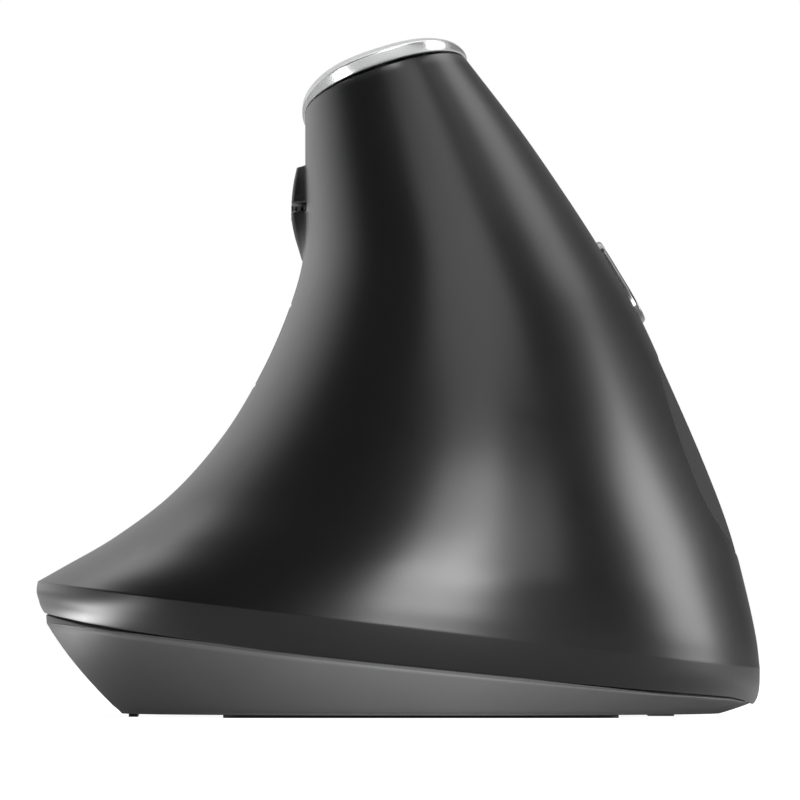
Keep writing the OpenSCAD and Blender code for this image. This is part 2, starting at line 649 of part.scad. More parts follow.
module base_shell() {
  color("#222224")
    difference() {
      union() {
        difference() {
          loft([[for (a = base_as) oval(a, base_low, foot_drop)], [for (a = base_as) side(a)],
            [for (a = base_as) rim(a, 0.12, -seat)]]);
          loft([[for (a = base_as) oval(a, base_low + [wall, -wall, wall, -wall], floor_z)],
            [for (a = base_as) rim(a, wall + 0.5, 2.5)]]);
        }
        for (s = screw_at)
          translate([s[0], s[1], floor_z - e])
            cylinder(r = boss_r, h = boss_top - floor_z + e);
        for (s = stand_at)
          translate([s[0], s[1], floor_z - e])
            cylinder(r = 1.6, h = board_z - floor_z + e);
        // End and side walls of the battery bay.
        for (s = [-1, 1]) {
          plate(cell_x, s * (bay_end + bay_wall / 2), bay_w + 2, bay_wall, floor_z - e, 2 * cell_r + e);
          plate(cell_x + s * (lid_w / 2 + 0.85), 0, 1.2, 2 * bay_end, floor_z - e, 5);
        }
        // Walls of the receiver's pocket.
        plate(dock[0], dock[1], dock_w + 2.4, dock_l + 2.4, floor_z - e, dock_h - floor_t + 0.9);
      }
      plate(cell_x, 0, lid_w + 2 * lid_gap, lid_l + 2 * lid_gap, -1, floor_z + 1 + e);
      plate(dock[0], dock[1], dock_w + 2 * dock_gap, dock_l + 2 * dock_gap, -1, foot_drop + dock_h + 1.3);
      plate(eye[0], eye[1], 10, 7, -1, floor_z + 2);
      plate(toggle[0], toggle[1], 4 + 2 * toggle_travel + 0.6, 3.6, -1, floor_z + 2);
      for (s = screw_at)
        translate([s[0], s[1], 0]) {
          cylinder(r = screw_r + screw_play, h = boss_top + 1);
          cylinder(r = head_r + 0.3, h = head_z + 1.3);
        }
      foot_pads(0.05);
      foot_rails(0.05);
    }
}

module case_screws() {
  color("#9a9c9f")
    for (s = screw_at)
      translate([s[0], s[1], 0]) {
        difference() {
          translate([0, 0, head_z])
            cylinder(r = head_r, h = 1.25);
          for (a = [0, 90])
            rotate([0, 0, a])
              plate(0, 0, 0.6, 2.6, head_z - 1, 1.7);
        }
        translate([0, 0, head_z + 1.2])
          cylinder(r = screw_r, h = 12.4 - head_z);
      }
}

module wide_feet() {
  color("#0d0d0e")
    foot_pads(0);
}

module side_feet() {
  color("#0d0d0e")
    foot_rails(0);
}

module battery_door() {
  color("#222224")
    difference() {
      plate(cell_x, 0, lid_w, lid_l, foot_drop + 0.05, lid_t);
      // Thumb grooves.
      for (i = [0:4])
        plate(cell_x, -lid_l / 2 + 4 + i * 1.6, lid_w * 0.5, 0.8, foot_drop - 1, 1.45);
    }
}

module battery() {
  color("#2f6f4f")
    translate([cell_x, -cell_l / 2 + cell_y, cell_z])
      rotate([-90, 0, 0]) {
        cylinder(r = cell_r, h = cell_l - 1.2);
        cylinder(r = 2.7, h = cell_l);
      }
}

// Conical spring at the battery's flat end: one wire, wound from a formula.
function coil(t) =
  let (r = 5 - 2.4 * t, a = 360 * 2.5 * t)
  [cell_x + r * cos(a), -bay_end + 0.4 + (bay_end - cell_l / 2 - 0.8) * t, cell_z + r * sin(a)];
module battery_spring() {
  n = 40;
  r = 0.35;
  rings = [for (i = [0:n])
    let (c = coil(i / n), ahead = unit(coil((i + 0.5) / n) - coil((i - 0.5) / n)))
    let (out = unit(c - [cell_x, c[1], cell_z]), w = cross(ahead, out))
    [for (k = [0:5]) c + r * cos(60 * k) * out + r * sin(60 * k) * w]];
  color("#b9bbbe") {
    loft(rings);
    plate(cell_x, -bay_end + 0.25, 12, 0.4, cell_z - 6, 12);
  }
}

module battery_plate() {
  color("#b9bbbe")
    plate(cell_x, bay_end - 0.3, 9, 0.5, cell_z - 5, 10);
  color("#b9bbbe")
    translate([cell_x, cell_l / 2 + 0.05, cell_z])
      rotate([-90, 0, 0])
        cylinder(r = 1.8, h = bay_end - 0.3 - cell_l / 2);
}

module usb_receiver() {
  color("#2a2a2c")
    difference() {
      union() {
        plate(dock[0], dock[1] - dock_l / 2 + 3.2, dock_w, 6.4, foot_drop + 0.1, dock_h);
        plate(dock[0], dock[1] + 3.1, 12, dock_l - 6.3, foot_drop + 0.2, dock_h - 0.2);
      }
      plate(dock[0], dock[1] + dock_l / 2 - 5, 10.8, 11, foot_drop + 2.2, 1.9);
    }
}

module power_body() {
  color("#3a3a3c")
    plate(toggle[0], toggle[1], 9, 5, floor_z + 0.3, board_z - floor_z - 0.3);
}

module power_slider() {
  color("#d8d8d8")
    difference() {
      plate(toggle[0] - toggle_travel, toggle[1], 4, 3, foot_drop + 0.3, floor_z - foot_drop - 0.1);
      for (i = [-1:1])
        plate(toggle[0] - toggle_travel + i * 1.1, toggle[1], 0.4, 4, foot_drop, 0.6);
    }
}

module sensor_lens() {
  color([0.85, 0.92, 0.95, 0.5])
    difference() {
      union() {
        plate(eye[0], eye[1], 9.6, 6.6, foot_drop + 0.6, floor_z - foot_drop);
        plate(eye[0], eye[1], 16, 12, floor_z + 0.05, board_z - floor_z - 0.15);
      }
      translate([eye[0] - 1.6, eye[1], foot_drop - 1])
        cylinder(r = 1.6, h = 3);
      plate(eye[0] + 5, eye[1], 4.4, 4.4, floor_z + 1.6, 5);
    }
}

module sensor_chip() {
  color("#18181a")
    plate(eye[0] - 1.5, eye[1], 10.6, 9.6, board_z + board_t + 0.02, 2.6);
}

module sensor_lamp() {
  color("#b02020")
    translate([eye[0] + 5, eye[1], floor_z + 1.7]) {
      cylinder(r = 1.5, h = board_z - floor_z - 1.75);
    }
}

module main_board() {
  color("#1f5a34")
    difference() {
      union() {
        translate([board_box[0], board_box[2], board_z])
          cube([board_box[1] - board_box[0], board_box[3] - board_box[2], board_t]);
        plate(board_box[0] + 2.4, 14 * sy, 3.4, 11, board_z + board_t - e, 2.2);
      }
      plate(board_box[0] + 1.9, 14 * sy, 0.8, 9, board_z + board_t + 0.4, 5);
      translate([eye[0] - 1.6, eye[1], board_z - 1])
        cylinder(r = 2.2, h = 5);
    }
}

// Inner frame: cross bars on the screw bosses and an upright plate that carries
// the switch board, the wheel's guide, the thumb board and the cap's board.
bar_z = 12.2;
bar_t = 2.4;
plate_x = 5.4 * sx;
function win(y0, y1, z0, z1) = [[y0, z0], [y1, z0], [y1, z1], [y0, z1]];
strut_l = (thumb_p[0] - plate_x - 1) / sin(thumb_turn) + thumb_board_z - board_t;
neck = [cap_c[1] - 6.5, cap_c[1] + 6.5];
module upright(points, x, t) {
  translate([x, 0, 0])
    rotate([90, 0, 90])
      linear_extrude(t)
        polygon(points);
}

module inner_frame() {
  color("#2b2b2e")
    difference() {
      union() {
        for (y = [screw_at[0][1], screw_at[2][1]])
          plate((screw_at[0][0] + screw_at[1][0]) / 2, y, screw_at[1][0] - screw_at[0][0], bar_w - 0.6, bar_z, bar_t);
        plate(plate_x + frame_t / 2 + 1, (screw_at[0][1] + screw_at[2][1]) / 2, 4,
          screw_at[2][1] - screw_at[0][1], bar_z, bar_t);
        for (s = screw_at)
          translate([s[0], s[1], boss_top + 0.05])
            cylinder(r = boss_r, h = bar_z + bar_t - boss_top - 0.05);
        upright([
          [-22 * sy, bar_z], [35.5 * sy, bar_z], [41.5 * sy, 30 * sz], [40.5 * sy, 45 * sz], [34.5 * sy, 57 * sz],
          [31 * sy, 63.5 * sz], [neck[1], 64.5 * sz], [neck[1], 70.3 * sz], [neck[0], 70.3 * sz], [neck[0], 65 * sz],
          [-6 * sy, 60 * sz], [-20 * sy, 40 * sz]
        ], plate_x, frame_t);
        // Ledge under the speed board.
        on_cap()
          plate(1.6, 0, 8.7, 6, speed_board_z - 2.6, 1.4);
        // Struts behind the thumb board.
        for (s = [-1, 1])
          on_thumb()
            plate(0, s * (thumb_board_l / 2 - 3), 4, 3, thumb_board_z - board_t - strut_l, strut_l);
        // Bracket of the wheel's push switch.
        plate((plate_x + switch_x + click_h + 1) / 2, wheel_y, switch_x + click_h + 1 - plate_x, 6, arm_low - 2.2, 1.6);
        plate(switch_x + click_h + 0.55, wheel_y, 1, 6, arm_low - 2, 6);
        // Pegs of the switch board.
        for (p = [[6 * sy, 50 * sz], [38 * sy, 36 * sz], [6 * sy, 36 * sz]])
          translate([switch_face + board_t, p[0], p[1]])
            rotate([0, 90, 0])
              cylinder(r = 2, h = plate_x - switch_face - board_t + e);
      }
      for (s = screw_at)
        translate([s[0], s[1], 0])
          cylinder(r = screw_r + 0.05, h = 40);
      // Window for the wheel, and the guide for the carriage's arms.
      upright(win(wheel_y - 9.8, wheel_y + 9.8, wheel_z - wheel_w / 2 - 0.3, wheel_z + wheel_w / 2 + 0.3), plate_x - 3, 8);
      upright(win(wheel_y - arm_w / 2 - 0.1, wheel_y + arm_w / 2 + 0.1, arm_low - 0.1, arm_high + arm_t + 0.1), plate_x - 3, 8);
      // Lightening windows.
      upright(win(-12 * sy, 2 * sy, 24 * sz, 44 * sz), plate_x - 1, 8);
      upright(win(12 * sy, 32 * sy, 20 * sz, 33 * sz), plate_x - 1, 4);
    }
}

module switch_board() {
  color("#1f5a34")
    difference() {
      union() {
        upright([[2 * sy, 33 * sz], [43.4 * sy, 33 * sz], [43.4 * sy, 44 * sz], [39.5 * sy, 54 * sz], [35.6 * sy, 62.3 * sz],
          [30.4 * sy, 62.3 * sz], [30 * sy, 51.5 * sz], [2 * sy, 51.5 * sz]], switch_face, board_t);
        plate(switch_face - 1.7, 14 * sy, 3.4, 11, 33.6 * sz, 2.2);
      }
      plate(switch_face - 1.1 - 0.4, 14 * sy, 0.8, 9, 30 * sz, 5.5 * sz);
    }
}

module micro_switch(p) {
  translate([switch_face, p[1], p[2]])
    rotate([0, -90, 0]) {
      translate([-micro_w / 2, -micro_l / 2, 0])
        cube([micro_w, micro_l, micro_h]);
      translate([-1.5, -1, micro_h - e])
        cube([3, 2, 0.4 + e]);
    }
}

module finger_switches() {
  color("#3a3a3c")
    for (p = [index_p, middle_p, ring_p])
      micro_switch(p);
}

// Flat cable between the two board sockets.
module ribbon_cable() {
  x0 = board_box[0] + 1.9;
  x1 = switch_face - 1.5;
  z0 = board_z + board_t + 0.5;
  z1 = 33.6 * sz + 1.6;
  n = 16;
  path = [for (i = [0:n]) let (t = i / n) [x0 + (x1 - x0) * t - 4 * pow(sin(180 * t), 2), z0 + (z1 - z0) * t]];
  color("#c8c8cc")
    translate([0, 14 * sy + 4, 0])
      rotate([90, 0, 0])
        linear_extrude(8)
          polygon(concat(path + [for (p = path) [-0.15, 0]], [for (i = [n:-1:0]) path[i] + [0.15, 0]]));
}

main_cover();
base_shell();
top_cap();
thumb_pad();
side_bezel();
index_button();
middle_button();
ring_button();
forward_button();
back_button();
speed_button();
wheel_tyre();
wheel_hub();
wheel_axle();
wheel_carriage();
wheel_encoder();
wheel_switch();
inner_frame();
switch_board();
finger_switches();
thumb_board();
thumb_switches();
speed_board();
speed_switch();
main_board();
ribbon_cable();
sensor_chip();
sensor_lens();
sensor_lamp();
power_body();
power_slider();
battery();
battery_spring();
battery_plate();
battery_door();
usb_receiver();
case_screws();
wide_feet();
side_feet();
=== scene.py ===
"""Looks of the upright left-hand mouse.

The shape functions work in millimetres, and the finished meshes are in metres."""
import json
import math

import bmesh
import bpy
import numpy as np
from mathutils import Matrix, Vector


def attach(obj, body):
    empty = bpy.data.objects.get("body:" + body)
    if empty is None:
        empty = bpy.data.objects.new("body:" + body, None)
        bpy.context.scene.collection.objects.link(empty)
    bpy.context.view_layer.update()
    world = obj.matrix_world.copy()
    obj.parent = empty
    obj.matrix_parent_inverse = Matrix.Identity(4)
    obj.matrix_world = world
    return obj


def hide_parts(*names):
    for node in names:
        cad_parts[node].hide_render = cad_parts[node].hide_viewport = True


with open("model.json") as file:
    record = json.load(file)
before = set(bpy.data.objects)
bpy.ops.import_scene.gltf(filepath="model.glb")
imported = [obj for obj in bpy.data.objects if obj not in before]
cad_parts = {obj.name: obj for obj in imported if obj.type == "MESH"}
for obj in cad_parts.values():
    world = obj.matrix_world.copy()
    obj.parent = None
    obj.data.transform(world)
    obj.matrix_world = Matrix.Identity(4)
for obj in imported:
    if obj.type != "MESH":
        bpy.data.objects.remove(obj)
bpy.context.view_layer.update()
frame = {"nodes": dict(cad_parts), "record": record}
NODES = frame["nodes"]
MM = 0.001
MERGE = 1e-6  # points closer than this, in metres, are one

# Camera: the straight view of the palm end, from far away and a little low. VIEW_WIDTH is what it takes in.
CENTRE = Vector((0.00017, 0, 0.03634))
DISTANCE = 4.2
CAMERA_DROP = 0.0143
VIEW_WIDTH = 0.09195

camera = bpy.data.objects.new("camera", bpy.data.cameras.new("camera"))
bpy.context.collection.objects.link(camera)
camera.location = CENTRE + Vector((0, -DISTANCE, -CAMERA_DROP))
camera.rotation_euler = (math.radians(90) + math.atan(CAMERA_DROP / DISTANCE), 0, 0)
camera.data.lens = camera.data.sensor_width * DISTANCE / VIEW_WIDTH
camera.data.clip_end = 20
bpy.context.scene.camera = camera

# Shape of the shell: level, then finger edge x z, thumb edge x z, back y, front y, widest y on the
# finger side and on the thumb side, rise of the back, drop of the front. The part's source has the same
# rows, apart from the rise of the back at the three lowest levels, which follows the photographed crease.
ROWS = [
    (0, (-41.43, 15.5, 41.46, 5.6, -55.88, 55.88, -2, -6, -0.1, 0)),
    (0.05, (-38.6, 17.1, 41.05, 9, -55.7, 55.88, -1.5, -6, -0.05, 0.1)),
    (0.12, (-32.7, 20.5, 39.9, 14.4, -55, 55.85, -0.5, -5.5, 0, 0.2)),
    (0.22, (-26, 25.6, 38, 21.6, -52.8, 55.8, 1, -5, 0, 0.4)),
    (0.34, (-20.2, 32.2, 35, 29.6, -49.2, 55, 3, -3.5, 0.4, 0.6)),
    (0.46, (-16, 39.1, 31.2, 38.4, -44.2, 53.5, 5, -1.5, 0.6, 0.9)),
    (0.58, (-12.9, 46, 27.3, 46.8, -38, 51.2, 7, 1, 0.9, 1.3)),
    (0.68, (-11.1, 52, 23.6, 53, -32, 48.6, 8.5, 4, 1.2, 1.8)),
    (0.79, (-10.72, 58.2, 19.4, 59.5, -25, 45, 10, 7, 1.6, 2.6)),
    (0.9, (-10.75, 64.2, 14.1, 67.1, -17, 40.5, 11, 10, 2.1, 3.6)),
    (1, (-10.75, 69.3, 7.8, 75.2, -9, 34, 12, 12, 2.6, 5)),
]
BACK_N, FRONT_N = 2.25, 2.5
LEVELS = np.array([r[0] for r in ROWS], float)
TABLE = np.array([r[1] for r in ROWS], float)
AFTER = np.minimum(np.arange(len(ROWS)) + 1, len(ROWS) - 1)
BEFORE = np.maximum(np.arange(len(ROWS)) - 1, 0)
SLOPES = (TABLE[AFTER] - TABLE[BEFORE]) / (LEVELS[AFTER] - LEVELS[BEFORE])[:, None]

# The thumb's hollow: its depth, then its middle and half-width along y and along z.
HOLLOW, HOLLOW_Y, HOLLOW_Z = 2.2, (22, 15), (33, 12)
# The seam is a tilted plane: its height at x = 0 and its fall to the thumb side.
SEAM_HEIGHT, SEAM_FALL = 6.33, 0.114
# The rim band: how much it bulges on the finger side, and draws in at its foot across and along.
BAND_BULGE, BAND_IN_X, BAND_IN_Y = 0.0036, 0.0212, 0.0168

# Thickness of the shell, gap between two panels, how far the thumb bezel stands out, and the levels to a
# millimetre where the wheel is.
WALL, SEAM, PROUD, LEVEL_PER_MM = 2.2, 0.3, 0.5, 0.0177
# The raised island: its height, and the angles over which it rises at its palm end and at its nose end.
ISLAND, ISLAND_PALM, ISLAND_NOSE = 1.65, (184, 181.5), (120, 137)
# Its lowest level, the level of the gap between the buttons on it, and its highest level.
ISLAND_LOW, SPLIT, ISLAND_HIGH = 0.694, 0.79, 0.88
# Openings, as lowest and highest angle and level. The finger opening runs on past the cap's seam.
FINGERS = (112, 188, 0.44, 1.56)
STRIP = (-8, 40, 0.554, 0.707)
PAD = (-24, 45, 0.17, 0.51)
# Outlines: the power of the superellipse, from nearly round to square.
PAD_POWER, STRIP_POWER, SQUARE = 2.4, 6, 60
PAD_DEPTH = 1.1  # of the thumb pad, below the shell


def row_at(v):
    i = np.clip(np.searchsorted(LEVELS, v, side="right") - 1, 0, len(ROWS) - 2)
    h = (LEVELS[i + 1] - LEVELS[i])[..., None]
    t = (v - LEVELS[i])[..., None] / h
    return ((2 * t**3 - 3 * t * t + 1) * TABLE[i] + (t**3 - 2 * t * t + t) * h * SLOPES[i]
            + (3 * t * t - 2 * t**3) * TABLE[i + 1] + (t**3 - t * t) * h * SLOPES[i + 1])


def powered(c, k):
    return np.sign(c) * np.abs(c) ** k


def flank(a, v):
    """A point of the shell at angle a (0 thumb side, 90 nose, 180 finger side, 270 palm end) and level v."""
    rad = np.radians(a)
    c, s = np.cos(rad), np.sin(rad)
    r = np.moveaxis(row_at(v), -1, 0)
    k = np.where(s >= 0, 2 / FRONT_N, 2 / BACK_N)
    f = (1 + powered(c, k)) / 2
    h = np.abs(s) ** k
    m = r[6] + (r[7] - r[6]) * f
    y = np.where(s >= 0, m + (r[5] - m) * h, m - (m - r[4]) * h)
    z = r[1] + (r[3] - r[1]) * f + np.where(s >= 0, -r[9], r[8]) * h
    x = r[0] + (r[2] - r[0]) * f
    along, upward = (y - HOLLOW_Y[0]) / HOLLOW_Y[1], (z - HOLLOW_Z[0]) / HOLLOW_Z[1]
    hollow = HOLLOW * np.exp(-(along**2) - upward**2)
    return np.stack([x - np.where(c > 0, hollow, 0), y, z], -1)


def seam_z(x):
    """Height of the seam. The plane is the CAD's, and the photographed seam bows off it by less than 1 mm."""
    bow = np.interp(x, (-42, -40, -36, -32, -24, -14, -4, 8, 20, 28, 36, 38, 39.5, 41),
                    (0.95, 0.7, 0.25, 0.02, -0.21, -0.44, -0.42, -0.3, -0.16, 0, 0.18, 0.2, 0, -0.5))
    return SEAM_HEIGHT - SEAM_FALL * x + bow


def band(a, t):
    """The rim band, from the crease (0) down to the seam (1). Its bulge grows beyond x = -22."""
    p = flank(a, np.zeros_like(a))
    bulge = BAND_BULGE * np.clip((-22 - p[..., 0]) / 16, 0, 1)
    x = p[..., 0] * (1 + bulge * np.sin(np.pi * np.minimum(1, t * 1.7)) - BAND_IN_X * t**4)
    y = p[..., 1] * (1 - BAND_IN_Y * (0.6 * t + 0.4 * t * t))
    return np.stack([x, y, p[..., 2] + (seam_z(x) - p[..., 2]) * t], -1)


def surface(a, v):
    a, v = np.broadcast_arrays(np.asarray(a, float), np.asarray(v, float))
    return np.where((v < 0)[..., None], band(a, np.maximum(-v, 0)), flank(a, np.clip(v, 0, 1)))


def unit(p):
    return p / np.linalg.norm(p, axis=-1, keepdims=True)


def normal(a, v):
    """The outward direction, from short steps that stay on one side of the crease."""
    a, v = np.broadcast_arrays(np.asarray(a, float), np.asarray(v, float))
    low = np.where(v < 0, np.clip(v - 0.02, -1, -0.02), np.clip(v - 0.003, 0, 0.994))
    high = np.where(v < 0, np.clip(v + 0.02, -1, 0), np.clip(v + 0.003, 0.006, 1))
    return unit(np.cross(surface(a + 0.4, v) - surface(a - 0.4, v), surface(a, high) - surface(a, low)))


def per_step(a, v):
    """Millimetres to a degree and to a whole level, at a place on the shell."""
    deg = np.linalg.norm(surface(a + 0.5, v) - surface(a - 0.5, v), axis=-1)
    lev = np.linalg.norm(surface(a, v + 0.004) - surface(a, v - 0.004), axis=-1) / 0.008
    return deg, lev


def ramp(a, b, t):
    return np.clip((t - a) / (b - a), 0, 1)


def soft(t):
    return t * t * (3 - 2 * t)


def island(a, v):
    """How far the raised island stands out to the finger side."""
    swell = np.sin(np.pi / 2 * ramp(ISLAND_LOW, SPLIT, v))
    below = ramp(ISLAND_LOW - 0.002, ISLAND_LOW, v) * (0.15 + 0.85 * swell)
    above = ramp(ISLAND_HIGH + 0.003, ISLAND_HIGH - 0.001, v) * (1 - 0.42 * ramp(SPLIT, ISLAND_HIGH, v) ** 2)
    return ISLAND * np.where(v < SPLIT, below, above) * soft(ramp(*ISLAND_PALM, a)) * ramp(*ISLAND_NOSE, a)


def shell_point(a, v, depth=0.0, hump=False):
    """A point at a depth under the shell, moved out with the island where there is a hump."""
    p = surface(a, v) - depth * normal(a, v)
    if hump:
        p[..., 0] -= island(a, v)
    return p


# Panels of the shell.
def lines(start, end, step, *marks):
    """Grid lines from start to end, about a step apart, with exact lines at the marks."""
    keep = sorted({start, end, *[m for m in marks if start < m < end]})
    out = []
    for lo, hi in zip(keep, keep[1:]):
        n = max(1, round((hi - lo) / step))
        out += [lo + (hi - lo) * i / n for i in range(n)]
    return np.array(out + [end])


def around(value, near):
    """A mark with a close line on each side of it, which keeps an edge crisp under smooth shading."""
    return value - near, value, value + near


def bend(us, vs, box, power, shift, reach):
    """Rounds a rectangle of the grid to a superellipse and moves its border outwards by shift millimetres.
    The change fades out over reach, outside the border where reach is above 1 and inside it where below."""
    a0, a1, v0, v1 = box
    ca, cv, ra, rv = (a0 + a1) / 2, (v0 + v1) / 2, (a1 - a0) / 2, (v1 - v0) / 2
    a, b = (us - ca) / ra, (vs - cv) / rv
    m = np.maximum(np.maximum(np.abs(a), np.abs(b)), 1e-6)
    if reach > 1:
        w = np.clip((reach - m) / (reach - 1), 0, 1) * (m > 0.999)
    else:
        w = np.clip((m - reach) / (1 - reach), 0, 1)
    # The sum is at least 1 everywhere but in the very middle, which stays where it is.
    total = np.maximum(np.abs(a / m) ** power + np.abs(b / m) ** power, 1)
    k = (total ** (-1 / power) - 1) * w + 1
    deg, lev = per_step(us, np.clip(vs, 0.01, 0.99))
    side = w / m * shift
    return ca + ra * a * k + a * side / deg, cv + rv * b * k + b * side / lev


def grid_mesh(points, keep=None, wrap=False):
    """A bmesh of the grid's cells, in metres. keep says of each cell whether it stays."""
    nu, nv = points.shape[:2]
    bm = bmesh.new()
    verts = {}

    def vert(i, j):
        key = (i % nu if wrap else i, j)
        if key not in verts:
            verts[key] = bm.verts.new(points[key] * MM)
        return verts[key]

    for i in range(nu if wrap else nu - 1):
        for j in range(nv - 1):
            if keep is None or keep[i, j]:
                bm.faces.new((vert(i, j), vert(i + 1, j), vert(i + 1, j + 1), vert(i, j + 1)))
    return bm


def roll_edges(bm, radius, depth, steps=3):
    """Rounds every open edge of a surface over to a wall that goes down to depth, all in millimetres."""
    bm.normal_update()
    rim = [e for e in bm.edges if e.is_boundary]
    out = {}
    for e in rim:
        face = e.link_faces[0]
        d = (e.verts[1].co - e.verts[0].co).cross(face.normal).normalized()
        if d.dot((e.verts[0].co + e.verts[1].co) / 2 - face.calc_center_median()) < 0:
            d.negate()
        for v in e.verts:
            out.setdefault(v, []).append(d)
    way = {}
    for v, ds in out.items():
        t = sum(ds, Vector()).normalized()
        way[v] = (v.co.copy(), v.normal.copy(), t / max(0.6, t.dot(ds[0])))
    turns = []
    for e in rim:
        loop = e.link_loops[0]
        turns.append((loop.vert, loop.link_loop_next.vert))
    last = {v: v for v in way}
    for step in range(1, steps + 2):
        angle = math.radians(90 * min(step, steps) / steps)
        out_by = radius * math.sin(angle)
        down = radius * (1 - math.cos(angle)) if step <= steps else depth
        ring = {v: bm.verts.new(co + (t * out_by - n * down) * MM) for v, (co, n, t) in way.items()}
        for a, b in turns:
            bm.faces.new((last[b], last[a], ring[a], ring[b]))
        last = ring
    return bm


def finish_mesh(bm, name, body, slot, replaces=()):
    """Makes the object, shades it smooth, gives it the look of its slot, ties it to its body and hides the
    nodes it stands for.
    """
    bmesh.ops.remove_doubles(bm, verts=bm.verts, dist=MERGE)
    mesh = bpy.data.meshes.new(name)
    bm.to_mesh(mesh)
    bm.free()
    mesh.shade_smooth()
    mesh.materials.append(LOOKS[slot])
    piece = bpy.data.objects.new(name, mesh)
    bpy.context.collection.objects.link(piece)
    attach(piece, body)
    if replaces:
        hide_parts(*replaces)


def add_post(bm, start, end, radius):
    """A round post inside a button, from start to end in millimetres."""
    a, b = Vector(start) * MM, Vector(end) * MM
    turn = (b - a).to_track_quat("Z", "Y").to_matrix().to_4x4()
    bmesh.ops.create_cone(bm, cap_ends=True, segments=24, radius1=radius * MM, radius2=radius * MM,
                          depth=(b - a).length, matrix=Matrix.Translation((a + b) / 2) @ turn)


# Materials.
def node(tree, kind, **inputs):
    n = tree.nodes.new(kind)
    for key, value in inputs.items():
        n.inputs[key.replace("_", " ")].default_value = value
    return n


def noise(tree, coords, feature, detail=2.0, rough=0.5):
    """A noise whose features are about `feature` millimetres across."""
    n = node(tree, "ShaderNodeTexNoise", Scale=0.5 / (feature * MM), Detail=detail, Roughness=rough)
    tree.links.new(coords, n.inputs["Vector"])
    return n.outputs["Fac"]


def spread(tree, fac, low, high, start=0.3, end=0.7):
    """Maps fac from start..end to low..high, and no further."""
    n = node(tree, "ShaderNodeMapRange")
    for key, value in (("From Min", start), ("From Max", end), ("To Min", low), ("To Max", high)):
        n.inputs[key].default_value = value
    tree.links.new(fac, n.inputs["Value"])
    return n.outputs["Result"]


def combine(tree, operation, a, b):
    """A Math node with two linked inputs."""
    n = tree.nodes.new("ShaderNodeMath")
    n.operation = operation
    tree.links.new(a, n.inputs[0])
    tree.links.new(b, n.inputs[1])
    return n.outputs["Value"]


def shaded(colour, k):
    return (*(min(1, c * k) for c in colour[:3]), 1)


def make_material(name, colour, rough, grain=0.3, height=0.01, patch=14, play=0.05, drift=0.12, wear=0.0,
                  metallic=0.0, coat=0.0, brushed=None, clear=0.0, gloss=0.5):
    """A moulded, cast or turned surface. grain is the size of its texture and height its depth, patch the
    size of its more and less glossy areas and play their difference, drift the change of its colour, wear
    the share of polished or scuffed spots, all in millimetres or shares."""
    mat = bpy.data.materials.new(name)
    mat.use_nodes = True
    tree = mat.node_tree
    shader = tree.nodes["Principled BSDF"]
    coords = tree.nodes.new("ShaderNodeTexCoord").outputs["Object"]
    if brushed:
        mapping = tree.nodes.new("ShaderNodeMapping")
        mapping.inputs["Scale"].default_value = brushed
        tree.links.new(coords, mapping.inputs["Vector"])
        fine = noise(tree, mapping.outputs["Vector"], grain, 3)
    else:
        fine = noise(tree, coords, grain, 3)
    cloud = noise(tree, coords, patch, 4, 0.6)
    mix = tree.nodes.new("ShaderNodeMix")
    mix.data_type = "RGBA"
    mix.inputs["A"].default_value = shaded(colour, 1 - drift)
    mix.inputs["B"].default_value = shaded(colour, 1 + drift)
    tree.links.new(spread(tree, cloud, 0, 1), mix.inputs["Factor"])
    tree.links.new(mix.outputs["Result"], shader.inputs["Base Color"])
    dull = spread(tree, cloud, rough - play, rough + play)
    if wear:
        spots = spread(tree, noise(tree, coords, patch / 5, 6, 0.7), 0, -wear, 0.58, 0.72)
        dull = combine(tree, "ADD", dull, spots)
    tree.links.new(dull, shader.inputs["Roughness"])
    bump = node(tree, "ShaderNodeBump", Strength=1.0, Distance=height * MM)
    tree.links.new(fine, bump.inputs["Height"])
    tree.links.new(bump.outputs["Normal"], shader.inputs["Normal"])
    shader.inputs["Metallic"].default_value = metallic
    shader.inputs["Coat Weight"].default_value = coat
    shader.inputs["Specular IOR Level"].default_value = gloss
    shader.inputs["Transmission Weight"].default_value = clear
    return mat


